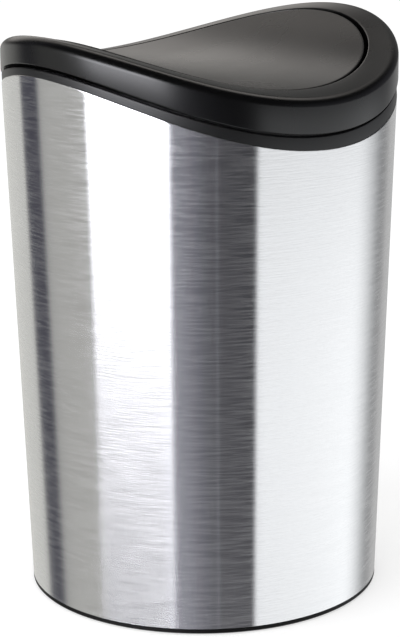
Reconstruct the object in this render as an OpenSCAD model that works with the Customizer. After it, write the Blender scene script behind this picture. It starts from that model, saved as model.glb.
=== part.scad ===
// Countertop trash can with a swing lid.
// The brushed steel shell tapers to its foot, and its rim is cut by a wave: two low sides and two high
// ends. The seams of the collar and the lid repeat that wave, and the flap's dished top continues it.
// X runs from one high end to the other, Y runs along the flap's pivot, and the can stands on Z = 0.

/* [Steel shell] */
// Outside diameter of the shell at the low sides of its rim
rim_d = 124.4; // [114:0.2:136]
// How much the shell's radius narrows from there to its bottom edge
shell_taper = 5.15; // [2:0.05:8]
// Height of the shell's top edge at its low sides
shell_top = 152; // [125:1:185]
// Rise of the rim from its low sides to its high ends
wave_rise = 19; // [14:0.5:22]
// Shift of the shell's wave to +X, which leaves more of the collar's band in sight at that end
wave_shift = 2; // [0:0.1:3]
// Thickness of the steel sheet
sheet_t = 0.6; // [0.4:0.1:1]

/* [Base] */
// Height of the base's rim that shows under the steel
base_rim_h = 1.5; // [1.2:0.1:3]
// Chamfer on the rim's lower edge
base_chamfer = 0.4; // [0.2:0.1:1]
// Thickness of the base's floor, ribs and plug wall
base_t = 1.8; // [1.4:0.1:3]
// Height of the base's floor above the worktop
floor_h = 5.4; // [5:0.1:9]
// Height of the plug wall's top edge, which holds the shell
plug_h = 12; // [10:0.5:20]
// Number of ribs under the base's floor
base_ribs = 10; // [6:1:16]
// Height of the ribs' lower edges above the rim's lower edge
rib_recess = 1; // [0.5:0.1:2]
// Radius of the hub where the ribs meet
hub_r = 9; // [6:0.5:14]
// Inset of the non-skid ring from the edge of the base
skid_inset = 3.5; // [2:0.1:8]
// Width of the non-skid ring
skid_w = 6; // [4:0.5:8]
// Thickness of the non-skid ring
skid_t = 1.3; // [1:0.1:2]
// Height of the non-skid ring that stands out under the base
skid_proud = 0.3; // [0.2:0.05:0.6]

/* [Rim collar] */
// Height of the collar's band that shows above the steel
band_h = 4.1; // [3:0.1:8]
// Depth of the collar's skirt inside the shell
skirt_h = 13; // [8:0.5:20]
// Thickness of the lip that the lid sits over
lip_t = 1.4; // [1:0.1:2]
// Shadow gap between the collar's band and the lid frame
seam_gap = 0.7; // [0.5:0.1:1.5]
// Inset of the band from the face of the steel
band_inset = 0.2; // [0:0.05:0.4]

/* [Lid frame] */
// Overhang of the lid frame's side past the shell's rim at its low sides
frame_overhang = 0.65; // [0.2:0.05:2]
// Height of the lid frame
frame_h = 12.3; // [11:0.1:18]
// Wall thickness of the lid frame
frame_wall = 1.8; // [1.4:0.1:2.2]
// Radius of the rounded edge between the frame's side and top
crown_r = 3; // [2.6:0.1:4.5]
// Slope at which the top climbs to that edge at the high ends
high_slope = 0.17; // [0:0.01:0.3]
// Slope at which the top falls to that edge on the low sides
low_slope = 0.21; // [0:0.01:0.3]
// How much the slope changes across the top, which makes it bulge a little
top_bulge = 0.15; // [0:0.01:0.25]
// Radius of the frame's small edges, round the opening and at the seam
edge_r = 0.5; // [0.3:0.05:0.7]
// Width of the frame's top beside the flap's pivots
frame_top_w = 10.25; // [9:0.05:14]
// Clearance of the opening past the flap at its two swinging ends
end_gap = 1.75; // [1.6:0.05:3]
// Clearance of the opening past the flap at its pivot sides
side_gap = 0.6; // [0.4:0.1:1]
// Depth of the snap groove in the frame's wall
snap_d = 0.4; // [0.2:0.05:0.6]

/* [Lid underframe] */
// Height of the underframe's flange above the lid frame's lower edge
seat_h = 1.2; // [1:0.1:2]
// Thickness of the flange
flange_t = 1.4; // [1:0.1:2]
// Depth that the ring plugs into the collar
plug_depth = 10; // [8:0.5:14]
// Thickness of the ring
ring_t = 1.6; // [1.2:0.1:2]
// Space between the ring's top edge and the inside of the frame's rounded edge
ring_space = 0.8; // [0.6:0.1:2]
// Space between the underframe's pivot bosses and the edge of the flap
boss_space = 0.9; // [0.6:0.1:1.5]

/* [Swing flap] */
// Rise of the flap's dished top from its pivot sides to its swinging ends
dish_rise = 14; // [11:0.1:15]
// Thickness of the flap's skin
flap_t = 2; // [1.6:0.1:2.4]
// Depth of the flap's edge lip below its top
flap_lip_h = 6.8; // [6:0.1:8]
// Thickness of the flap's edge lip
flap_lip_t = 1.6; // [1.2:0.1:2]
// Thickness of the ribs and of the walls round the pins and screws
rib_t = 1.6; // [1.2:0.1:2]
// Thickness of the liner under the flap
liner_t = 1.6; // [1.2:0.1:2]
// Depth of the pivot below the flap's top
pivot_drop = 6; // [5.8:0.1:6.4]
// Diameter of the pivot pins
pin_d = 3; // [2:0.1:3.4]
// Length of the pivot pins
pin_l = 16; // [13:0.5:17]
// Outside diameter of the bosses that hold the pins
boss_d = 7; // [6.2:0.1:7.2]
// Swing of the flap to each side, in degrees, where the stops end it
swing = 70; // [45:1:75]
// Depth of the swing stops below the pivot
stop_h = 13; // [8:0.5:14]
// Reach of the swing stops under the flap's edge
stop_reach = 3.6; // [2:0.1:6]

/* [Counterweight] */
// Width of the counterweight bar
weight_w = 14; // [8:0.5:18]
// Height of the counterweight bar
weight_h = 8; // [5:0.5:10]
// Length of the counterweight bar
weight_l = 66; // [40:1:72]
// Chamfer on the bar's long edges
weight_chamfer = 1; // [0.4:0.1:1.5]
// Depth of the liner's keel below the pivot
keel_h = 16; // [13.5:0.5:18]
// Radius of the keel's lower edges
keel_r = 2.5; // [2:0.1:4]
// Thickness of the foam pad on the counterweight
pad_t = 2; // [1:0.1:2.4]
// Inset of the foam pad from the bar's edges
pad_inset = 1; // [0.5:0.1:2]

/* [Liner screws] */
// Shank diameter of the liner screws
screw_d = 2.5; // [2:0.1:3]
// Head diameter of the liner screws
screw_head_d = 4.8; // [4:0.1:6]
// Head height of the liner screws
screw_head_h = 1.6; // [1.2:0.1:2]
// Distance of the screws from the middle along X
screw_x = 18; // [15:0.5:24]
// Distance of the screws from the middle along Y
screw_y = 24; // [16:0.5:30]

/* [Inner bucket] */
// How much the bucket's radius narrows from its rim to its bottom
bucket_taper = 5.3; // [3:0.1:10]
// Wall thickness of the bucket
bucket_t = 1.6; // [1.2:0.1:2.2]
// Width of the bucket's turned-out rim
bucket_rim_w = 2.6; // [1.8:0.1:4]
// Height of the bucket's turned-down rim edge
bucket_rim_h = 5; // [3:0.5:8]
// Width of the two lifting tabs
tab_w = 30; // [18:1:40]
// Height of the two lifting tabs above the rim
tab_h = 11; // [6:0.5:14]
// Radius of the rounded bottom edge of the bucket
bucket_edge_r = 6; // [3:0.5:10]
// Space between the bucket's rim and the collar round it
bucket_gap = 0.6; // [0.4:0.1:3]
// Space between the bucket's rim and the lid's ring above it
head_gap = 0.8; // [0.5:0.1:10]

/* [Fits] */
// Clearance between parts that slide past each other
slide_gap = 0.35; // [0.3:0.05:0.5]
// Clearance at the faces where a moving part rests
seat_gap = 0.3; // [0.2:0.05:0.4]
// Radial clearance of the pins in the underframe
pin_gap = 0.05; // [0.02:0.01:0.1]
// Clearance between parts that are pressed or snapped together
press_gap = 0.1; // [0.05:0.05:0.2]

/* [Hidden] */
$fn = 128;

stainless = [0.78, 0.78, 0.79];
lid_black = [0.07, 0.07, 0.08];
trim_black = [0.10, 0.10, 0.11];
rubber_black = [0.05, 0.05, 0.05];
bucket_grey = [0.20, 0.20, 0.21];
zinc = [0.62, 0.62, 0.60];

rim_r = rim_d / 2;
foot_r = rim_r - shell_taper;
frame_r = rim_r + frame_overhang;
side_opening_r = frame_r - frame_top_w;
flap_r = side_opening_r - side_gap;
end_opening_r = flap_r + end_gap;
pin_r = pin_d / 2;
boss_r = boss_d / 2;

// The rim's wave and the flap's dish are arcs in the XZ plane, extruded along Y.
function arc_r(half, rise) = (half * half + rise * rise) / (2 * rise);
wave_r = arc_r(rim_r, wave_rise);
dish_r = arc_r(flap_r, dish_rise);
function wave(x) = wave_r - sqrt(wave_r * wave_r - x * x);
function dish(x) = dish_r - sqrt(dish_r * dish_r - x * x);
wave_top = wave(frame_r + wave_shift);

// Levels at the low sides, from the foot up.
base_bottom = skid_proud;
shell_bottom = base_bottom + base_rim_h;
band_top = shell_top + band_h;
frame_bottom = band_top + seam_gap;
seat_z = frame_bottom + seat_h;
lip_top = seat_z - seat_gap;
ring_bottom = frame_bottom - plug_depth;
frame_top = frame_bottom + frame_h;
pivot_z = frame_top - pivot_drop;

// Radii from the lid frame inwards.
frame_in_r = frame_r - frame_wall;
lip_out_r = frame_in_r - seat_gap;
bore_r = lip_out_r - lip_t;
ring_out_r = bore_r - slide_gap;
ring_in_r = ring_out_r - ring_t;

// Outside radius of the tapered shell at a height.
function shell_r(z) = foot_r + shell_taper * (z - shell_bottom) / (shell_top - shell_bottom);

big = 400;

// A turned solid from a list of [radius, height] points.
module turned(points) rotate_extrude() polygon(points);

// A tube with sloping walls between two heights.
module tube(in_lo, out_lo, in_hi, out_hi, z_lo, z_hi) {
    turned([[in_lo, z_lo], [out_lo, z_lo], [out_hi, z_hi], [in_hi, z_hi]]);
}

// Everything above the arc of radius r that starts at height z on the low sides.
module above_arc(z, r, shift = 0) {
    translate([shift, 0, z + r])
        rotate([90, 0, 0])
            cylinder(r = r, h = big, center = true);
}

// Keeps what lies between two copies of the wave.
module between_waves(z_lo, z_hi, shift_lo = 0) {
    intersection() {
        children();
        difference() {
            above_arc(z_lo, wave_r, shift_lo);
            above_arc(z_hi, wave_r);
        }
    }
}

// Keeps what lies between two copies of the flap's dish.
module between_dishes(z_lo, z_hi) {
    intersection() {
        children();
        difference() {
            above_arc(z_lo, dish_r);
            above_arc(z_hi, dish_r);
        }
    }
}

// A round bar along Y between two values of Y, at the pivot's height.
module pivot_bar(r, y_lo, y_hi) {
    translate([0, y_hi, pivot_z])
        rotate([90, 0, 0])
            cylinder(r = r, h = y_hi - y_lo);
}

// ---------------------------------------------------------------- steel shell

module steel_shell() {
    z_hi = shell_top + wave_top + 1;
    color(stainless)
        difference() {
            tube(
                shell_r(shell_bottom) - sheet_t, shell_r(shell_bottom),
                shell_r(z_hi) - sheet_t, shell_r(z_hi), shell_bottom, z_hi
            );
            above_arc(shell_top, wave_r, wave_shift);
        }
}

// ---------------------------------------------------------------- rim collar

collar_bottom = shell_top - skirt_h;

// A solid cone that follows the shell, set in from its face.
module shell_core(inset, z_lo, z_hi) {
    tube(0, shell_r(z_lo) - inset, 0, shell_r(z_hi) - inset, z_lo, z_hi);
}

module rim_collar() {
    z_hi = lip_top + wave_top;
    color(trim_black)
        difference() {
            union() {
                between_waves(shell_top, band_top, wave_shift)
                    shell_core(band_inset, collar_bottom, z_hi);
                between_waves(collar_bottom, band_top)
                    shell_core(sheet_t + press_gap, collar_bottom, z_hi);
                between_waves(shell_top, lip_top)
                    cylinder(r = lip_out_r, h = z_hi);
            }
            cylinder(r = bore_r, h = big);
        }
}

// ---------------------------------------------------------------- base

skid_r = foot_r - skid_inset;
skid_in_r = skid_r - skid_w;
skid_wall_r = skid_in_r - base_t;
plug_r = shell_r(shell_bottom) - sheet_t - press_gap;
plug_top_r = shell_r(plug_h) - sheet_t - press_gap;
floor_under = floor_h - base_t;
rib_bottom = base_bottom + rib_recess;

module base_plate() {
    groove_top = base_bottom + skid_t - skid_proud;
    color(trim_black)
        difference() {
            union() {
                turned([
                    [skid_wall_r, base_bottom], [foot_r - base_chamfer, base_bottom],
                    [foot_r, base_bottom + base_chamfer], [foot_r, shell_bottom], [plug_r, shell_bottom],
                    [plug_top_r, plug_h], [plug_top_r - base_t, plug_h], [plug_r - base_t, floor_h],
                    [0, floor_h], [0, floor_under], [skid_wall_r, floor_under]
                ]);
                tube(0, hub_r, 0, hub_r, rib_bottom, floor_h);
                for (i = [0 : base_ribs - 1])
                    rotate([0, 0, i * 360 / base_ribs])
                        translate([0, -base_t / 2, rib_bottom])
                            cube([skid_wall_r + base_t / 2, base_t, floor_h - base_t / 2 - rib_bottom]);
            }
            tube(skid_in_r - press_gap, skid_r + press_gap, skid_in_r - press_gap, skid_r + press_gap,
                 base_bottom - 1, groove_top);
            cylinder(r = hub_r - base_t, h = floor_under);
        }
}

module non_skid_ring() {
    color(rubber_black)
        tube(skid_in_r, skid_r, skid_in_r, skid_r, 0, skid_t);
}

// ---------------------------------------------------------------- inner bucket

bucket_z = floor_h;
bucket_top = ring_bottom - head_gap;
bucket_rim_r = bore_r - bucket_gap;
bucket_top_r = bucket_rim_r - bucket_rim_w;
bucket_foot_r = bucket_top_r - bucket_taper;

// Points of an arc round [x, z], from one angle to another.
function arc(x, z, r, from, to, n) =
    [for (i = [0 : n]) let (a = from + (to - from) * i / n) [x + r * cos(a), z + r * sin(a)]];

module bucket_profile() {
    edge_x = bucket_foot_r - bucket_edge_r;
    edge_z = bucket_z + bucket_edge_r;
    inner_r = bucket_edge_r - bucket_t;
    roll = bucket_t / 2;
    polygon(concat(
        [[0, bucket_z]],
        arc(edge_x, edge_z, bucket_edge_r, -90, 0, 6),
        [[bucket_top_r, bucket_top - bucket_t]],
        [[bucket_rim_r - bucket_t, bucket_top - bucket_t]],
        [[bucket_rim_r - bucket_t, bucket_top - bucket_rim_h]],
        [[bucket_rim_r, bucket_top - bucket_rim_h]],
        arc(bucket_rim_r - roll, bucket_top - roll, roll, 0, 90, 4),
        arc(bucket_top_r - bucket_t + roll, bucket_top - roll, roll, 90, 180, 4),
        arc(edge_x, edge_z, inner_r, 0, -90, 6),
        [[0, bucket_z + bucket_t]]
    ));
}

// One lifting tab: a slice of the rim's wall that stands up at a high end.
module lifting_tab() {
    corner_r = tab_h / 2;
    in_r = bucket_rim_r - bucket_t;
    intersection() {
        tube(in_r, bucket_rim_r, in_r, bucket_rim_r, bucket_top - bucket_t, bucket_top + tab_h);
        union() {
            translate([0, -tab_w / 2, bucket_top - bucket_t])
                cube([big, tab_w, bucket_t + tab_h - corner_r]);
            translate([0, -tab_w / 2 + corner_r, bucket_top - bucket_t])
                cube([big, tab_w - 2 * corner_r, bucket_t + tab_h]);
            for (side = [-1, 1])
                translate([0, side * (tab_w / 2 - corner_r), bucket_top + tab_h - corner_r])
                    rotate([0, 90, 0])
                        cylinder(r = corner_r, h = big);
        }
    }
}

module inner_bucket() {
    color(bucket_grey)
        union() {
            rotate_extrude() bucket_profile();
            for (a = [0, 180])
                rotate([0, 0, a]) lifting_tab();
        }
}

// ---------------------------------------------------------------- lid frame

stations = 120;
crown_x = frame_r - crown_r;
top_end = 0.75;

// The opening is a little longer than wide, because the ends of the flap swing past its rim.
function opening_r(a) =
    end_opening_r * side_opening_r / norm([side_opening_r * cos(a), end_opening_r * sin(a)]);

// The frame's top starts level with the flap's edge. It climbs to the rounded edge at the high ends, and
// falls to it on the low sides.
function crown_slope(a) = high_slope * pow(cos(a), 2) - low_slope * pow(sin(a), 2);
function top_slope(k, a) = crown_slope(a) + top_bulge * (1 - k);
function top_width(a) = crown_x - crown_r * sin(atan(crown_slope(a))) - opening_r(a);
function top_z(k, a) =
    frame_top + dish(flap_r * cos(a)) + top_width(a) * k * (top_slope(0, a) + top_slope(k, a)) / 2;

// Points along the top, or a depth under it, from one share of its width to another.
function top_line(a, k_start, k_end, depth, n) = [
    for (i = [0 : n])
        let (k = k_start + (k_end - k_start) * i / n)
            [opening_r(a) + k * top_width(a), top_z(k, a) - depth / cos(atan(top_slope(k, a)))]
];

// The frame's section at an angle, as [radius, height].
function frame_section(a) =
    let (
        o = opening_r(a),
        crown_lean = atan(crown_slope(a)),
        crown_z = top_z(1, a) - crown_r * cos(crown_lean),
        k_edge = edge_r / top_width(a),
        lean = atan(top_slope(k_edge, a)),
        edge_z = top_z(k_edge, a) - edge_r / cos(lean),
        seam = frame_bottom + wave(frame_r * cos(a)),
        snap_r = frame_in_r + snap_d,
        in_wave = wave(frame_in_r * cos(a)),
        snap_wave = wave(snap_r * cos(a)),
        snap_lo = seat_z - press_gap,
        snap_hi = seat_z + flange_t + press_gap
    )
    concat(
        [[frame_in_r, frame_bottom + in_wave], [frame_r - edge_r, seam], [frame_r, seam + edge_r]],
        arc(crown_x, crown_z, crown_r, 0, 90 + crown_lean, 8),
        top_line(a, top_end, 2 * k_edge, 0, 3),
        arc(o + edge_r, edge_z, edge_r, 90 + lean, 180, 3),
        top_line(a, 0, top_end, frame_wall, 3),
        arc(crown_x, crown_z, crown_r - frame_wall, 90 + crown_lean, 0, 4),
        [[frame_in_r, snap_hi + in_wave], [snap_r, snap_hi + snap_wave]],
        [[snap_r, snap_lo + snap_wave], [frame_in_r, snap_lo + in_wave]]
    );

// The section at each station round the can, joined to the next.
module lid_frame() {
    n = len(frame_section(0));
    points = [
        for (i = [0 : stations - 1])
            let (a = i * 360 / stations)
                for (p = frame_section(a)) [p[0] * cos(a), p[0] * sin(a), p[1]]
    ];
    faces = [
        for (i = [0 : stations - 1])
            for (j = [0 : n - 1])
                let (
                    here = i * n, next = ((i + 1) % stations) * n, k = (j + 1) % n,
                    a = here + j, b = here + k, c = next + k, d = next + j
                )
                    each [[a, b, c], [a, c, d]]
    ];
    color(lid_black) polyhedron(points = points, faces = faces, convexity = 6);
}

// ---------------------------------------------------------------- lid underframe

// Height of the underside of the frame's top at a radius. The ring and its bosses end below it.
function under_z(r, a) =
    let (k = (r - opening_r(a)) / top_width(a))
    top_z(k, a) - frame_wall / cos(atan(top_slope(k, a)));
ring_top = min([for (a = [0 : 15 : 90]) under_z(ring_out_r, a) - wave(ring_out_r * cos(a))]) - ring_space;
ring_mid_r = ring_out_r - ring_t / 2;
boss_top = under_z(ring_mid_r, 90) - seat_gap;
flange_r = frame_in_r + snap_d - press_gap;
boss_in_y = flap_r + boss_space;

// A stop hangs below each pivot. The flap's underside meets its sloping faces at the end of the swing.
module swing_stop() {
    lean = 90 - swing;
    lead = flap_lip_h - pivot_drop + seat_gap;
    first = boss_r + 1;
    function half(d) = max(seat_gap, (d * sin(lean) - lead) / cos(lean));
    translate([0, ring_mid_r, pivot_z])
        rotate([90, 0, 0])
            linear_extrude(height = ring_mid_r - flap_r + stop_reach)
                polygon([
                    [-half(first), -first], [-half(stop_h), -stop_h],
                    [half(stop_h), -stop_h], [half(first), -first]
                ]);
}

module lid_underframe() {
    color(trim_black)
        difference() {
            union() {
                between_waves(ring_bottom, ring_top)
                    tube(ring_in_r, ring_out_r, ring_in_r, ring_out_r, 0, big);
                between_waves(seat_z, seat_z + flange_t)
                    tube(ring_in_r, flange_r, ring_in_r, flange_r, 0, big);
                for (a = [0, 180])
                    rotate([0, 0, a]) {
                        intersection() {
                            pivot_bar(boss_r, boss_in_y, ring_mid_r);
                            translate([-boss_r, 0, 0]) cube([boss_d, big, boss_top]);
                        }
                        swing_stop();
                    }
            }
            pivot_bar(pin_r + pin_gap, -big / 2, big / 2);
        }
}

// ---------------------------------------------------------------- swing flap

liner_top = frame_top - flap_lip_h + liner_t;
liner_r = flap_r - flap_lip_t - press_gap;
pin_out_y = ring_out_r - press_gap;
pin_in_y = pin_out_y - pin_l;
screw_hole_top = frame_top - flap_t + dish(screw_x) - slide_gap;
weight_top = pivot_z - keel_h + liner_t + weight_h;
pad_top = weight_top + pad_t;

// The four places of the liner screws.
module at_screws() {
    for (x = [-screw_x, screw_x], y = [-screw_y, screw_y])
        translate([x, y, 0]) children();
}

// The two pivot bosses under the flap, each on a foot that joins it to the skin.
module flap_pivot_boss() {
    y_lo = pin_in_y - rib_t;
    y_hi = flap_r - flap_lip_t / 2;
    pivot_bar(boss_r, y_lo, y_hi);
    translate([-boss_r, y_lo, pivot_z])
        cube([2 * boss_r, y_hi - y_lo, pivot_drop - flap_t / 2]);
}

module swing_flap() {
    color(lid_black)
        difference() {
            union() {
                between_dishes(frame_top - flap_t, frame_top)
                    cylinder(r = flap_r, h = big);
                between_dishes(frame_top - flap_lip_h, frame_top)
                    tube(flap_r - flap_lip_t, flap_r, flap_r - flap_lip_t, flap_r, 0, big);
                for (a = [0, 180])
                    rotate([0, 0, a]) flap_pivot_boss();
                between_dishes(liner_top, frame_top - flap_t / 2)
                    at_screws() cylinder(r = screw_d / 2 + rib_t, h = big);
                for (y = [-1, 0, 1])
                    translate([-weight_w / 2, y * weight_l / 3 - rib_t / 2, pad_top])
                        cube([weight_w, rib_t, frame_top - flap_t / 2 - pad_top]);
            }
            for (a = [0, 180])
                rotate([0, 0, a]) pivot_bar(pin_r, pin_in_y, big / 2);
            at_screws() cylinder(r = screw_d / 2, h = screw_hole_top);
        }
}

// ---------------------------------------------------------------- flap liner and counterweight

keel_in_w = weight_w + 2 * slide_gap;
keel_w = keel_in_w + 2 * liner_t;
keel_in_l = weight_l + 2 * slide_gap;
keel_l = keel_in_l + 2 * liner_t;
screw_seat = liner_top - liner_t + dish(screw_x) - screw_head_h / 2;
screw_pad_r = (screw_head_d + liner_t) / 2;

// The keel's section across the flap: a box with rounded lower corners.
module keel_section(w, bottom, top, corner) {
    polygon(concat(
        [[w / 2, top], [-w / 2, top]],
        arc(-w / 2 + corner, bottom + corner, corner, 180, 270, 5),
        arc(w / 2 - corner, bottom + corner, corner, 270, 360, 5)
    ));
}

module keel_solid(w, l, bottom, top, corner) {
    translate([0, l / 2, 0])
        rotate([90, 0, 0])
            linear_extrude(height = l)
                keel_section(w, bottom, top, corner);
}

module flap_liner() {
    keel_bottom = pivot_z - keel_h;
    notch_w = boss_d + 2 * slide_gap;
    color(trim_black)
        difference() {
            union() {
                between_dishes(liner_top - liner_t, liner_top)
                    cylinder(r = liner_r, h = big);
                keel_solid(keel_w, keel_l, keel_bottom, liner_top, keel_r);
                at_screws()
                    translate([0, 0, screw_seat])
                        cylinder(r = screw_pad_r, h = liner_top - liner_t / 2 + dish(screw_x) - screw_seat);
            }
            keel_solid(keel_in_w, keel_in_l, keel_bottom + liner_t, big, keel_r - liner_t);
            for (a = [0, 180])
                rotate([0, 0, a])
                    translate([-notch_w / 2, pin_in_y - rib_t - slide_gap, 0])
                        cube([notch_w, big, big]);
            at_screws() cylinder(r = screw_d / 2 + press_gap, h = big);
        }
}

module bar(w, l, z_lo, z_hi, chamfer) {
    translate([0, l / 2, 0])
        rotate([90, 0, 0])
            linear_extrude(height = l)
                polygon([
                    [-w / 2 + chamfer, z_lo], [w / 2 - chamfer, z_lo], [w / 2, z_lo + chamfer],
                    [w / 2, z_hi - chamfer], [w / 2 - chamfer, z_hi], [-w / 2 + chamfer, z_hi],
                    [-w / 2, z_hi - chamfer], [-w / 2, z_lo + chamfer]
                ]);
}

module counterweight() {
    color(zinc) bar(weight_w, weight_l, weight_top - weight_h, weight_top, weight_chamfer);
}

module counterweight_pad() {
    color(rubber_black)
        bar(weight_w - 2 * pad_inset, weight_l - 2 * pad_inset, weight_top, pad_top, pad_t / 10);
}

module pivot_pin(side) {
    chamfer = pin_d / 10;
    color(stainless)
        rotate([0, 0, side])
            translate([0, pin_out_y, pivot_z])
                rotate([90, 0, 0])
                    turned([
                        [0, 0], [pin_r - chamfer, 0], [pin_r, chamfer],
                        [pin_r, pin_l - chamfer], [pin_r - chamfer, pin_l], [0, pin_l]
                    ]);
}

// Domed-head screws with a crossed recess, driven up from below.
module liner_screws() {
    head_r = screw_head_d / 2;
    shank_r = screw_d / 2;
    shank = screw_hole_top - slide_gap - screw_seat;
    slot_w = screw_d / 4;
    slot_l = screw_head_d / 2;
    slot_d = screw_head_h / 2;
    dome_step = 18;
    color(stainless)
        at_screws()
            translate([0, 0, screw_seat])
                difference() {
                    turned(concat(
                        [for (a = [90 : -dome_step : 0]) [head_r * cos(a), -screw_head_h * sin(a)]],
                        [[shank_r, 0], [shank_r, shank - shank_r / 2], [shank_r / 2, shank], [0, shank]]
                    ));
                    for (a = [0, 90])
                        rotate([0, 0, a])
                            translate([-slot_l / 2, -slot_w / 2, -screw_head_h - slot_d])
                                cube([slot_l, slot_w, 2 * slot_d]);
                }
}

steel_shell();
rim_collar();
base_plate();
non_skid_ring();
inner_bucket();
lid_frame();
lid_underframe();
swing_flap();
flap_liner();
counterweight();
counterweight_pad();
pivot_pin(180);  // pivot_pin_front
pivot_pin(0);  // pivot_pin_back
liner_screws();
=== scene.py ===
import math

import bpy
import numpy as np
from mathutils import Matrix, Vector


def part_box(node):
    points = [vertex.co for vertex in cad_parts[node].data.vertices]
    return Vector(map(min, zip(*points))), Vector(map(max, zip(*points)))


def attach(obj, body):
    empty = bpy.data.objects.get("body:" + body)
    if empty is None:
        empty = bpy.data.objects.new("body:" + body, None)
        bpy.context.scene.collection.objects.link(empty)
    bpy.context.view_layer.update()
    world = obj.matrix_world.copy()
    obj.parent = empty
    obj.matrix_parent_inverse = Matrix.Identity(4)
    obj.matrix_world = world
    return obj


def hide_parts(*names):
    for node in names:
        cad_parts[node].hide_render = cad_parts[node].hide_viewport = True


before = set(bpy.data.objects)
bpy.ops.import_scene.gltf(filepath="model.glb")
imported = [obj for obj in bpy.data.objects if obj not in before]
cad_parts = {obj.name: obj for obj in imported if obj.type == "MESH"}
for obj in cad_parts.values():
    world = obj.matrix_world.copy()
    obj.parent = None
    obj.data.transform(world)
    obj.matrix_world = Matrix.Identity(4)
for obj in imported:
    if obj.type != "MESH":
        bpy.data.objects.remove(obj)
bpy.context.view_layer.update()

MM = 0.001

# ---------------------------------------------------------------- sizes of the can, in millimetres


def box_mm(node):
    """Lowest and highest corner of a CAD node, in millimetres."""
    lo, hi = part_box(node)
    return lo / MM, hi / MM


RIM_R = box_mm("steel_shell")[1].y
FOOT_R = box_mm("base_plate")[1].x
SHELL_BOTTOM = box_mm("steel_shell")[0].z
FRAME_R = box_mm("lid_frame")[1].x
FRAME_BOTTOM = box_mm("lid_frame")[0].z
FLAP_R = box_mm("swing_flap")[1].y
PIVOT_Z = (box_mm("pivot_pin_back")[0].z + box_mm("pivot_pin_back")[1].z) / 2
PIN_INNER_Y = box_mm("pivot_pin_back")[0].y
COLLAR_BOTTOM = box_mm("rim_collar")[0].z

SHELL_TOP = 152.0
WAVE_RISE, WAVE_SHIFT = 19.0, 2.0
DISH_RISE = 14.0
SHEET_T = 0.6
BAND_INSET, SEAM_GAP = 0.2, 0.7
LIP_H, LIP_INSET, LIP_T = 0.9, 2.1, 1.4
LIP_TOP = FRAME_BOTTOM + LIP_H
LIP_OUT_R = FRAME_R - LIP_INSET
BORE_R = LIP_OUT_R - LIP_T
SKIRT_INSET = 0.7
FRAME_H = 12.3
FRAME_TOP = FRAME_BOTTOM + FRAME_H
FRAME_WALL, CROWN_R, EDGE_R = 1.8, 3.0, 0.5
HIGH_SLOPE, LOW_SLOPE, TOP_BULGE = 0.17, 0.21, 0.15
SIDE_GAP, END_GAP = 0.6, 1.75
SIDE_OPENING_R, END_OPENING_R = FLAP_R + SIDE_GAP, FLAP_R + END_GAP
SNAP_D, SNAP_LO, SNAP_HI = 0.4, FRAME_BOTTOM + 1.1, FRAME_BOTTOM + 2.7
FLAP_T, FLAP_LIP_H, FLAP_LIP_T, FLAP_EDGE_R = 2.0, 6.8, 1.6, 0.4
RIB_T, BOSS_R = 1.6, 3.5

# Steps round each turned piece. The two that show long edges against the light have more.
SHELL_STEPS, COLLAR_STEPS, FRAME_STEPS, FLAP_STEPS = 480, 360, 480, 320


def arc_radius(half, rise):
    return (half * half + rise * rise) / (2 * rise)


WAVE_R = arc_radius(RIM_R, WAVE_RISE)
DISH_R = arc_radius(FLAP_R, DISH_RISE)
CROWN_X = FRAME_R - CROWN_R


def wave(x):
    return WAVE_R - np.sqrt(WAVE_R * WAVE_R - x * x)


def dish(x):
    return DISH_R - np.sqrt(DISH_R * DISH_R - x * x)


def shell_r(z):
    return FOOT_R + (RIM_R - FOOT_R) * (z - SHELL_BOTTOM) / (SHELL_TOP - SHELL_BOTTOM)


# ---------------------------------------------------------------- mesh helpers


def arc(x, z, r, start, end, n):
    """Points of an arc round [x, z], with the angles in degrees."""
    turn = np.radians(np.linspace(start, end, n + 1))
    return [(x + r * math.cos(t), z + r * math.sin(t)) for t in turn]


def mesh_object(name, points, faces, smooth_angle=35):
    """A piece from points in millimetres, shaded smooth up to that angle."""
    mesh = bpy.data.meshes.new(name)
    mesh.from_pydata([[c * MM for c in p] for p in points], [], faces)
    mesh.validate()
    mesh.update()
    mesh.polygons.foreach_set("use_smooth", [True] * len(mesh.polygons))
    mesh.set_sharp_from_angle(angle=math.radians(smooth_angle))
    piece = bpy.data.objects.new(name, mesh)
    bpy.context.scene.collection.objects.link(piece)
    return piece


def swept_ring(section, stations):
    """Points and faces of a closed section turned round Z. The section may differ at each angle."""
    rings = [section(i * 2 * math.pi / stations) for i in range(stations)]
    n = len(rings[0])
    points = [
        (r * math.cos(i * 2 * math.pi / stations), r * math.sin(i * 2 * math.pi / stations), z)
        for i, ring in enumerate(rings)
        for r, z in ring
    ]
    faces = []
    for i in range(stations):
        here, there = i * n, ((i + 1) % stations) * n
        for j in range(n):
            k = (j + 1) % n
            faces.append((here + j, there + j, there + k, here + k))
    return points, faces


def swept_cap(section, stations):
    """The same for a section that starts and ends on the axis."""
    rings = [section(i * 2 * math.pi / stations) for i in range(stations)]
    n = len(rings[0])
    points = [(0, 0, rings[0][0][1]), (0, 0, rings[0][-1][1])]
    for i, ring in enumerate(rings):
        turn = i * 2 * math.pi / stations
        points += [(r * math.cos(turn), r * math.sin(turn), z) for r, z in ring[1:-1]]
    m = n - 2
    faces = []
    for i in range(stations):
        here, there = 2 + i * m, 2 + ((i + 1) % stations) * m
        faces.append((0, there, here))
        faces.append((1, here + m - 1, there + m - 1))
        for j in range(m - 1):
            faces.append((here + j, there + j, there + j + 1, here + j + 1))
    return points, faces


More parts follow.
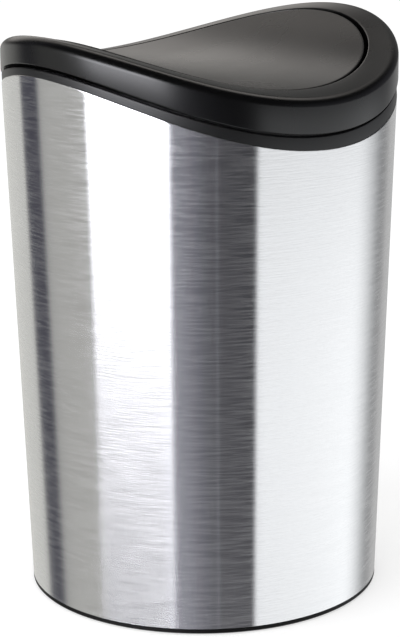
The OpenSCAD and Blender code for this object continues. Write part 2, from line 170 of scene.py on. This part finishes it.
def prism(outline, y_lo, y_hi):
    """Points and faces of an outline in the XZ plane, drawn out along Y."""
    n = len(outline)
    points = [(x, y, z) for y in (y_lo, y_hi) for x, z in outline]
    faces = [tuple(range(n)), tuple(range(2 * n - 1, n - 1, -1))]
    faces += [(j, j + n, (j + 1) % n + n, (j + 1) % n) for j in range(n)]
    return points, faces


def joined(parts):
    """Several lists of points and faces as one."""
    points, faces = [], []
    for part_points, part_faces in parts:
        start = len(points)
        points += part_points
        faces += [tuple(start + v for v in face) for face in part_faces]
    return points, faces


# ---------------------------------------------------------------- node helpers


class Graph:
    """A node tree with short ways to add and link nodes."""

    def __init__(self, tree):
        self.tree = tree
        tree.nodes.clear()

    def add(self, kind, *links, **settings):
        node = self.tree.nodes.new(kind)
        for key, value in settings.items():
            if hasattr(node, key):
                setattr(node, key, value)
            else:
                node.inputs[key.replace("_", " ")].default_value = value
        for socket, source in links:
            self.tree.links.new(source, node.inputs[socket])
        return node

    def math(self, operation, a, b=0.0, c=0.0):
        node = self.tree.nodes.new("ShaderNodeMath")
        node.operation = operation
        for socket, value in zip(node.inputs, (a, b, c)):
            if isinstance(value, (int, float)):
                socket.default_value = value
            else:
                self.tree.links.new(value, socket)
        return node.outputs[0]

    def ramp(self, source, stops, interpolation="LINEAR"):
        """A colour ramp. Each stop is a position and a grey level or a colour."""
        node = self.tree.nodes.new("ShaderNodeValToRGB")
        node.color_ramp.interpolation = interpolation
        elements = node.color_ramp.elements
        for position, _ in stops[2:]:
            elements.new(position)
        for element, (position, level) in zip(elements, stops):
            element.position = position
            colour = (level,) * 3 if isinstance(level, (int, float)) else level
            element.color = (*colour, 1)
        self.tree.links.new(source, node.inputs[0])
        return node.outputs["Color"]

    def spread(self, source, low, high, from_low=0.0, from_high=1.0):
        """Maps a value from one range to another."""
        node = self.add("ShaderNodeMapRange", ("Value", source))
        node.inputs["From Min"].default_value = from_low
        node.inputs["From Max"].default_value = from_high
        node.inputs["To Min"].default_value = low
        node.inputs["To Max"].default_value = high
        return node.outputs[0]

    def step(self, source, start, end):
        """Rises smoothly from 0 at the start to 1 at the end."""
        node = self.add("ShaderNodeMapRange", ("Value", source), interpolation_type="SMOOTHSTEP")
        node.inputs["From Min"].default_value = start
        node.inputs["From Max"].default_value = end
        return node.outputs[0]

    def noise(self, scale, detail=2.0, stretch=(1, 1, 1), roughness=0.5):
        """Noise on the piece's own coordinates, in cells per metre."""
        place = self.add("ShaderNodeTexCoord")
        mapping = self.add("ShaderNodeMapping", ("Vector", place.outputs["Object"]))
        mapping.inputs["Scale"].default_value = stretch
        node = self.add("ShaderNodeTexNoise", ("Vector", mapping.outputs[0]))
        node.inputs["Scale"].default_value = scale
        node.inputs["Detail"].default_value = detail
        node.inputs["Roughness"].default_value = roughness
        return node.outputs[0]

    def bump(self, height, strength, distance):
        node = self.add("ShaderNodeBump", ("Height", height))
        node.inputs["Strength"].default_value = strength
        node.inputs["Distance"].default_value = distance
        return node.outputs[0]


def material(name):
    """A new material with its graph and principled shader."""
    made = bpy.data.materials.new(name)
    made.use_nodes = True
    graph = Graph(made.node_tree)
    shader = graph.add("ShaderNodeBsdfPrincipled")
    graph.add("ShaderNodeOutputMaterial", ("Surface", shader.outputs[0]))
    return made, graph, shader


# ---------------------------------------------------------------- materials


def tinted(graph, shader, colour, pattern, amount):
    """Varies a colour's lightness by that share, following a pattern."""
    low = tuple(c * (1 - amount) for c in colour)
    high = tuple(c * (1 + amount) for c in colour)
    graph.tree.links.new(graph.ramp(pattern, [(0.25, low), (0.75, high)]), shader.inputs["Base Color"])


def brushed_steel():
    """Stainless sheet, brushed round the can: long fine scratches and a reflection that spreads upright.

    A rough coat that follows the scratches keeps them in sight where the steel mirrors something dark.
    """
    made, graph, shader = material("brushed_steel")
    links = graph.tree.links
    lines = graph.noise(1, detail=2, stretch=(95, 95, 2400), roughness=0.6)
    bands = graph.noise(1, detail=2, stretch=(28, 28, 2100))
    both = graph.math("MULTIPLY_ADD", bands, 0.35, lines)
    tinted(graph, shader, (0.74, 0.74, 0.745), lines, 0.05)
    links.new(graph.spread(lines, 0.16, 0.185, 0.3, 0.7), shader.inputs["Roughness"])
    links.new(graph.bump(both, 0.09, 0.0002), shader.inputs["Normal"])
    tangent = graph.add("ShaderNodeTangent", direction_type="RADIAL", axis="Z")
    links.new(tangent.outputs[0], shader.inputs["Tangent"])
    shader.inputs["Metallic"].default_value = 1.0
    shader.inputs["Anisotropic"].default_value = 1.0
    shader.inputs["Anisotropic Rotation"].default_value = 0.25
    links.new(graph.spread(lines, 0.0, 1.0, 0.44, 0.58), shader.inputs["Coat Weight"])
    shader.inputs["Coat Roughness"].default_value = 0.4
    shader.inputs["Coat IOR"].default_value = 2.2
    return made


def moulded_plastic(name, colour, roughness, grain, specular=0.5):
    """Moulded black plastic: a fine spark-eroded grain and faint broad differences in gloss."""
    made, graph, shader = material(name)
    links = graph.tree.links
    fine = graph.noise(2600, detail=2)
    broad = graph.noise(28, detail=3)
    tinted(graph, shader, colour, fine, 0.1)
    links.new(graph.spread(broad, roughness - 0.03, roughness + 0.03, 0.3, 0.7), shader.inputs["Roughness"])
    links.new(graph.bump(fine, grain, 0.0001), shader.inputs["Normal"])
    shader.inputs["Specular IOR Level"].default_value = specular
    return made


def moulded_bucket():
    """Dark grey plastic with faint upright scuffs from bags and cleaning."""
    made, graph, shader = material("bucket_grey")
    links = graph.tree.links
    scuffs = graph.noise(1, detail=4, stretch=(500, 500, 18), roughness=0.6)
    grain = graph.noise(1800, detail=2)
    tinted(graph, shader, (0.05, 0.05, 0.053), scuffs, 0.12)
    links.new(graph.spread(scuffs, 0.36, 0.52, 0.3, 0.7), shader.inputs["Roughness"])
    links.new(graph.bump(grain, 0.1, 0.0001), shader.inputs["Normal"])
    return made


def moulded_rubber():
    """Matt rubber with a faint bloom."""
    made, graph, shader = material("rubber_black")
    links = graph.tree.links
    bloom = graph.noise(140, detail=4)
    grain = graph.noise(3200, detail=2)
    tinted(graph, shader, (0.02, 0.02, 0.02), bloom, 0.3)
    links.new(graph.spread(bloom, 0.7, 0.85, 0.3, 0.7), shader.inputs["Roughness"])
    links.new(graph.bump(grain, 0.25, 0.0001), shader.inputs["Normal"])
    return made


def zinc_plated():
    """The counterweight's zinc plating: cloudy crystals and a soft sheen."""
    made, graph, shader = material("zinc_steel")
    links = graph.tree.links
    place = graph.add("ShaderNodeTexCoord")
    cells = graph.add("ShaderNodeTexVoronoi", ("Vector", place.outputs["Object"]), Scale=450.0)
    clouds = graph.noise(260, detail=4)
    tinted(graph, shader, (0.46, 0.46, 0.44), clouds, 0.18)
    links.new(graph.spread(cells.outputs["Distance"], 0.32, 0.5), shader.inputs["Roughness"])
    links.new(graph.bump(clouds, 0.1, 0.0001), shader.inputs["Normal"])
    shader.inputs["Metallic"].default_value = 1.0
    return made


def closed_foam():
    """Black foam with small open cells on its face, and painted shade in the cells' pits."""
    made, graph, shader = material("foam_black")
    links = graph.tree.links
    place = graph.add("ShaderNodeTexCoord")
    cells = graph.add("ShaderNodeTexVoronoi", ("Vector", place.outputs["Object"]), Scale=1400.0)
    # The cells are tinted darker towards their middles, where the bump sinks into pits: painted shade in
    # the pits.
    tinted(graph, shader, (0.025, 0.025, 0.026), cells.outputs["Distance"], 0.4)
    links.new(graph.bump(cells.outputs["Distance"], 0.6, 0.0003), shader.inputs["Normal"])
    shader.inputs["Roughness"].default_value = 0.95
    return made


def turned_steel():
    """Turned steel of the pins and screws: fine rings and a bright sheen."""
    made, graph, shader = material("pin_steel")
    links = graph.tree.links
    rings = graph.noise(1, detail=2, stretch=(400, 5000, 400))
    tinted(graph, shader, (0.56, 0.56, 0.57), rings, 0.08)
    links.new(graph.spread(rings, 0.2, 0.36, 0.3, 0.7), shader.inputs["Roughness"])
    links.new(graph.bump(rings, 0.08, 0.0001), shader.inputs["Normal"])
    shader.inputs["Metallic"].default_value = 1.0
    return made


# ---------------------------------------------------------------- pieces


def placed(piece, node, body, finish):
    """Gives a piece that stands for a CAD node its material, body and slot."""
    piece.data.materials.append(finish)
    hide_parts(node)
    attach(piece, body)
    return piece


def shell_section(a):
    """The steel sheet's wall at an angle: its top edge is cut by the wave and lightly rounded."""
    edge, burr = 0.25, 0.1

    def top(r):
        return SHELL_TOP + wave(r * math.cos(a) - WAVE_SHIFT)

    r = shell_r(top(RIM_R))
    z = top(r)
    lows = np.linspace(SHELL_BOTTOM + burr, z - edge - 0.4, 12)
    wall = [(shell_r(h), h) for h in lows] + [(shell_r(z - edge), z - edge)]
    return [
        (FOOT_R - SHEET_T, SHELL_BOTTOM),
        (FOOT_R - burr, SHELL_BOTTOM),
        *wall,
        *arc(r - edge, z - edge, edge, 0, 90, 6)[1:],
        *arc(r - SHEET_T + burr, z - burr, burr, 90, 180, 3),
        *[(shell_r(h) - SHEET_T, h) for h in lows[::-3]],
    ]


def collar_section(a):
    """The collar's wall: a skirt inside the steel, the band that shows, and the lip under the lid."""
    edge = 0.3

    def level(z, r, shift=0.0):
        return z + wave(r * math.cos(a) - shift)

    skirt_low = level(COLLAR_BOTTOM, BORE_R + 1)
    ledge_z = level(SHELL_TOP, RIM_R, WAVE_SHIFT)
    band_z = level(FRAME_BOTTOM - SEAM_GAP, RIM_R)
    band_r = shell_r(band_z) - BAND_INSET
    return [
        (BORE_R, level(COLLAR_BOTTOM, BORE_R)),
        (shell_r(skirt_low) - SKIRT_INSET, skirt_low),
        (shell_r(ledge_z) - SKIRT_INSET, ledge_z),
        (shell_r(ledge_z) - BAND_INSET, ledge_z),
        *arc(band_r - edge, band_z - edge, edge, 0, 90, 6),
        (LIP_OUT_R, level(FRAME_BOTTOM - SEAM_GAP, LIP_OUT_R)),
        (LIP_OUT_R, level(LIP_TOP, LIP_OUT_R)),
        (BORE_R, level(LIP_TOP, BORE_R)),
    ]


def opening_r(a):
    """The lid's opening is an ellipse, wider where the flap's ends swing through it."""
    across = math.hypot(SIDE_OPENING_R * math.cos(a), END_OPENING_R * math.sin(a))
    return END_OPENING_R * SIDE_OPENING_R / across


def crown_slope(a):
    return HIGH_SLOPE * math.cos(a) ** 2 - LOW_SLOPE * math.sin(a) ** 2


def top_slope(k, a):
    return crown_slope(a) + TOP_BULGE * (1 - k)


def top_width(a):
    return CROWN_X - CROWN_R * math.sin(math.atan(crown_slope(a))) - opening_r(a)


def top_z(k, a):
    """Height of the frame's top at a share of its width: level with the flap's edge at the opening."""
    climb = top_width(a) * k * (top_slope(0, a) + top_slope(k, a)) / 2
    return FRAME_TOP + dish(FLAP_R * math.cos(a)) + climb


def top_line(a, start, end, depth, n):
    return [
        (opening_r(a) + k * top_width(a), top_z(k, a) - depth * math.hypot(1, top_slope(k, a)))
        for k in np.linspace(start, end, n + 1)
    ]


def frame_section(a):
    """The lid frame's wall: its side, the rounded edge that follows the wave, and its top."""
    opening = opening_r(a)
    crown_lean = math.degrees(math.atan(crown_slope(a)))
    crown_z = top_z(1, a) - CROWN_R * math.cos(math.radians(crown_lean))
    k_edge = EDGE_R / top_width(a)
    lean = math.degrees(math.atan(top_slope(k_edge, a)))
    edge_z = top_z(k_edge, a) - EDGE_R / math.cos(math.radians(lean))
    inner_r = FRAME_R - FRAME_WALL
    snap_r = inner_r + SNAP_D
    seam_z = FRAME_BOTTOM + wave(FRAME_R * math.cos(a))
    inner_wave = wave(inner_r * math.cos(a))
    snap_wave = wave(snap_r * math.cos(a))
    return [
        (inner_r, FRAME_BOTTOM + inner_wave),
        *arc(FRAME_R - EDGE_R, seam_z + EDGE_R, EDGE_R, -90, 0, 6),
        *arc(CROWN_X, crown_z, CROWN_R, 0, 90 + crown_lean, 24),
        *top_line(a, 0.97, 1.4 * k_edge, 0, 14),
        *arc(opening + EDGE_R, edge_z, EDGE_R, 90 + lean, 180, 7),
        *top_line(a, 0, 0.75, FRAME_WALL, 4),
        *arc(CROWN_X, crown_z, CROWN_R - FRAME_WALL, 90 + crown_lean, 0, 6),
        (inner_r, SNAP_HI + inner_wave),
        (snap_r, SNAP_HI + snap_wave),
        (snap_r, SNAP_LO + snap_wave),
        (inner_r, SNAP_LO + inner_wave),
    ]


def flap_section(a):
    """The flap's skin and edge lip, with a small radius round its top edge."""
    lip_r = FLAP_R - FLAP_LIP_T
    foot_edge = 0.3

    def top(r, depth=0.0):
        return FRAME_TOP - depth + dish(r * math.cos(a))

    edge_x = FLAP_R - FLAP_EDGE_R
    x = edge_x * math.cos(a)
    lean = math.degrees(math.atan(math.cos(a) * x / math.sqrt(DISH_R * DISH_R - x * x)))
    edge_z = top(edge_x) - FLAP_EDGE_R / math.cos(math.radians(lean))
    radii = np.linspace(0, edge_x - 0.3, 26)
    return [
        *[(r, top(r)) for r in radii],
        *arc(edge_x, edge_z, FLAP_EDGE_R, 90 + lean, 0, 7),
        *arc(FLAP_R - foot_edge, top(FLAP_R, FLAP_LIP_H) + foot_edge, foot_edge, 0, -90, 4),
        (lip_r, top(lip_r, FLAP_LIP_H)),
        (lip_r, top(lip_r, FLAP_T)),
        *[(r, top(r, FLAP_T)) for r in np.linspace(lip_r - 1, 0, 12)],
    ]


def boss_prism(side):
    """A pivot boss under the flap: half a round bar on a foot that reaches the skin."""
    outline = arc(0, PIVOT_Z, BOSS_R, 180, 360, 20)
    outline += [(BOSS_R, FRAME_TOP - FLAP_T / 2), (-BOSS_R, FRAME_TOP - FLAP_T / 2)]
    y_lo, y_hi = PIN_INNER_Y - RIB_T, FLAP_R - FLAP_LIP_T / 2
    return prism(outline, *sorted((side * y_lo, side * y_hi)))


def make_shell(finish):
    piece = mesh_object("steel_sheet", *swept_ring(shell_section, SHELL_STEPS))
    return placed(piece, "steel_shell", "can", finish)


def make_collar(finish):
    piece = mesh_object("collar_ring", *swept_ring(collar_section, COLLAR_STEPS))
    return placed(piece, "rim_collar", "can", finish)


def make_lid_frame(finish):
    piece = mesh_object("lid_frame_moulding", *swept_ring(frame_section, FRAME_STEPS))
    return placed(piece, "lid_frame", "lid", finish)


def make_flap(finish):
    parts = [swept_cap(flap_section, FLAP_STEPS), boss_prism(1), boss_prism(-1)]
    piece = mesh_object("flap_moulding", *joined(parts))
    return placed(piece, "swing_flap", "flap", finish)


def finish_nodes(finishes):
    """Gives each CAD node that stays in sight its material."""
    for name, finish in finishes.items():
        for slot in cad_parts[name].material_slots:
            slot.material = finish


# ---------------------------------------------------------------- camera, floor and light

CAMERA_TURN = -0.68
CAMERA_PITCH = 0.262
CAMERA_ROLL = -0.009
CAMERA_PLACE = (0.0, -0.7199, 0.2803)
FOCUS_PX, CENTRE_X, CENTRE_Y = 2284.6, 201.8, 317.6
IMAGE_W, IMAGE_H = 400, 637


def make_camera():
    data = bpy.data.cameras.new("camera")
    data.sensor_width = 36.0
    data.lens = FOCUS_PX * data.sensor_width / IMAGE_H
    data.shift_x = (IMAGE_W / 2 - CENTRE_X) / IMAGE_H
    data.shift_y = (CENTRE_Y - IMAGE_H / 2) / IMAGE_H
    camera = bpy.data.objects.new("camera", data)
    camera.matrix_world = (
        Matrix.Rotation(CAMERA_TURN, 4, "Z")
        @ Matrix.Translation(CAMERA_PLACE)
        @ Matrix.Rotation(math.pi / 2 - CAMERA_PITCH, 4, "X")
        @ Matrix.Rotation(CAMERA_ROLL, 4, "Z")
    )
    bpy.context.scene.collection.objects.link(camera)
    bpy.context.scene.camera = camera


def make_floor():
    """A pale floor that keeps the can's shadow. Seen from below, it lets the base show."""
    made = bpy.data.materials.new("pale_floor")
    made.use_nodes = True
    graph = Graph(made.node_tree)
    path = graph.add("ShaderNodeLightPath")
    paint = graph.add("ShaderNodeBsdfDiffuse", Color=(*(FLOOR_GREY,) * 3, 1))
    lift = graph.math("MULTIPLY", path.outputs["Is Camera Ray"], FLOOR_LIFT)
    glow = graph.add("ShaderNodeEmission", ("Strength", lift))
    both = graph.add("ShaderNodeAddShader", (0, paint.outputs[0]), (1, glow.outputs[0]))
    side = graph.add("ShaderNodeNewGeometry")
    clear = graph.add("ShaderNodeBsdfTransparent")
    shown = graph.add(
        "ShaderNodeMixShader", (0, side.outputs["Backfacing"]), (1, both.outputs[0]), (2, clear.outputs[0])
    )
    graph.add("ShaderNodeOutputMaterial", ("Surface", shown.outputs[0]))
    corners = [(x * FLOOR_REACH, y * FLOOR_REACH, 0) for x, y in ((-1, -1), (1, -1), (1, 1), (-1, 1))]
    floor = mesh_object("floor", corners, [(0, 1, 2, 3)])
    floor.data.materials.append(made)
    floor.visible_glossy = False
    floor.visible_shadow = False


# The studio that the can's steel and plastic mirror, as panels that add up where they overlap. Each has
# its sides in azimuth (degrees from the camera's side, clockwise from above) and its edges in elevation,
# each with how soft it is, and a radiance.
PANELS = {
    "key_low": ((-67.5, 2.5, -18, 2), (-12.5, 3, -8.5, 1.5), (3.4, 3.4, 3.5)),
    "key_box": ((-67.5, 2.5, -18, 2), (-8.5, 1.5, 18, 4), (8.6, 8.65, 9.1)),
    "key_glow": ((-66, 10, -8, 10), (-80, 14, 24, 14), (0.08, 0.08, 0.085)),
    "left_fill": ((-24, 3, 0, 16), (-80, 8, 0, 10), (0.15, 0.15, 0.18)),
    "front_fill": ((-30, 30, 50, 30), (-80, 20, -6, 20), (0.05, 0.05, 0.06)),
    "front_floor": ((-22, 3, 33.5, 1.5), (-90, 1, -38, 5), (0.40, 0.40, 0.42)),
    "light_slit": ((9.1, 0.3, 9.6, 0.3), (-80, 8, 10, 8), (0.18, 0.18, 0.21)),
    "left_wall": ((-106.5, 2.5, -70, 2), (-80, 12, 20, 12), (0.48, 0.48, 0.46)),
    "left_gap": ((-126, 1.5, -106, 2.5), (-80, 12, 60, 12), (0.06, 0.06, 0.08)),
    "left_rear": ((-178, 6, -126, 1.5), (-80, 6, 0, 6), (0.68, 0.68, 0.65)),
    "right_card": ((33.5, 1.5, 126, 21), (-34, 8, -9.5, 4), (1.40, 1.43, 1.45)),
    "right_wall": ((56, 12, 140, 14), (-8, 5, 22, 10), (0.12, 0.12, 0.14)),
    "right_rear": ((140, 12, 180, 6), (-80, 6, -5, 4), (0.52, 0.52, 0.52)),
    "rear_right": ((145, 10, 181, 3), (-6, 6, 42, 5), (0.17, 0.17, 0.165)),
    "rear_low": ((-180, 4, -140, 10), (7, 5, 28, 3), (1.15, 1.10, 1.05)),
    "rear_high": ((-166, 6, -138, 8), (30, 5, 45, 5), (0.9, 0.85, 0.8)),
    "rear_box": ((112, 14, 210, 14), (48, 4, 68, 5), (2.1, 2.0, 1.9)),
    "floor_card": ((-181, 1, 181, 1), (-90, 1, -42, 8), (0.30, 0.30, 0.30)),
}
ROOM_LEVEL, PLAIN_LEVEL = 0.01, 0.75
FLOOR_GREY, FLOOR_LIFT, FLOOR_REACH = 0.6, 0.55, 4000.0
LAMP_SIZE, LAMP_POWER, LAMP_PLACE = 1.4, 9.0, (-0.9, -0.2, 1.5)


def panel_mask(graph, azimuth, height, sides, edges):
    """How much of a direction lies in a panel."""
    start, start_soft, end, end_soft = sides
    low, low_soft, high, high_soft = edges
    reach = (end - start) / 2
    off_centre = graph.math("WRAP", graph.math("SUBTRACT", azimuth, start + reach), 180.0, -180.0)
    after = graph.step(off_centre, -reach - start_soft, -reach + start_soft)
    before = graph.step(off_centre, reach + end_soft, reach - end_soft)
    above = graph.step(height, low - low_soft, low + low_soft)
    below = graph.step(height, high + high_soft, high - high_soft)
    across, upright = graph.math("MULTIPLY", after, before), graph.math("MULTIPLY", above, below)
    return graph.math("MULTIPLY", across, upright)


def make_world():
    """White for the camera, plain soft light for matt faces, and the studio for glossy ones."""
    world = bpy.data.worlds.new("studio")
    bpy.context.scene.world = world
    world.use_nodes = True
    graph = Graph(world.node_tree)
    place = graph.add("ShaderNodeTexCoord")
    turned = graph.add(
        "ShaderNodeVectorRotate", ("Vector", place.outputs["Generated"]), rotation_type="Z_AXIS"
    )
    turned.inputs["Angle"].default_value = math.pi / 2 - CAMERA_TURN
    axes = graph.add("ShaderNodeSeparateXYZ", ("Vector", turned.outputs[0]))
    azimuth = graph.math("DEGREES", graph.math("ARCTAN2", axes.outputs["Y"], axes.outputs["X"]))
    height = graph.math("DEGREES", graph.math("ARCSINE", axes.outputs["Z"]))
    total = None
    for sides, edges, radiance in PANELS.values():
        light = graph.add("ShaderNodeVectorMath", operation="SCALE")
        light.inputs[0].default_value = radiance
        graph.tree.links.new(panel_mask(graph, azimuth, height, sides, edges), light.inputs["Scale"])
        if total is None:
            total = light.outputs[0]
        else:
            added = graph.add("ShaderNodeVectorMath", (0, total), (1, light.outputs[0]), operation="ADD")
            total = added.outputs[0]
    dark = graph.add("ShaderNodeVectorMath", (0, total), operation="ADD")
    dark.inputs[1].default_value = (ROOM_LEVEL,) * 3
    studio = graph.add("ShaderNodeBackground", ("Color", dark.outputs[0]), Strength=1.0)
    plain = graph.add("ShaderNodeBackground", Color=(1, 1, 1, 1), Strength=PLAIN_LEVEL)
    white = graph.add("ShaderNodeBackground", Color=(1, 1, 1, 1), Strength=1.0)
    path = graph.add("ShaderNodeLightPath")
    glossy, camera = path.outputs["Is Glossy Ray"], path.outputs["Is Camera Ray"]
    lit = graph.add("ShaderNodeMixShader", (0, glossy), (1, plain.outputs[0]), (2, studio.outputs[0]))
    seen = graph.add("ShaderNodeMixShader", (0, camera), (1, lit.outputs[0]), (2, white.outputs[0]))
    graph.add("ShaderNodeOutputWorld", ("Surface", seen.outputs[0]))


def make_lamp():
    """A large soft lamp above the can, a little to the camera's left."""
    data = bpy.data.lights.new("soft_lamp", "AREA")
    data.shape = "DISK"
    data.size = LAMP_SIZE
    data.energy = LAMP_POWER
    lamp = bpy.data.objects.new("soft_lamp", data)
    lamp.location = LAMP_PLACE
    lamp.rotation_euler = (-lamp.location).to_track_quat("-Z", "Y").to_euler()
    lamp.visible_glossy = False
    bpy.context.scene.collection.objects.link(lamp)


def main():
    lid_black = moulded_plastic("lid_black", (0.0015, 0.0015, 0.0017), roughness=0.28, grain=0.05)
    trim_black = moulded_plastic("trim_black", (0.006, 0.006, 0.0065), roughness=0.42, grain=0.12)
    base_black = moulded_plastic(
        "base_black", (0.004, 0.004, 0.0042), roughness=0.5, grain=0.12, specular=0.15
    )
    pin_steel = turned_steel()
    make_shell(brushed_steel())
    make_collar(trim_black)
    make_lid_frame(lid_black)
    make_flap(lid_black)
    finish_nodes({
        "base_plate": base_black,
        "non_skid_ring": moulded_rubber(),
        "inner_bucket": moulded_bucket(),
        "lid_underframe": trim_black,
        "flap_liner": trim_black,
        "counterweight": zinc_plated(),
        "counterweight_pad": closed_foam(),
        "pivot_pin_front": pin_steel,
        "pivot_pin_back": pin_steel,
        "liner_screws": pin_steel,
    })
    make_camera()
    make_floor()
    make_world()
    make_lamp()
    bpy.context.scene.view_settings.view_transform = "Standard"


main()
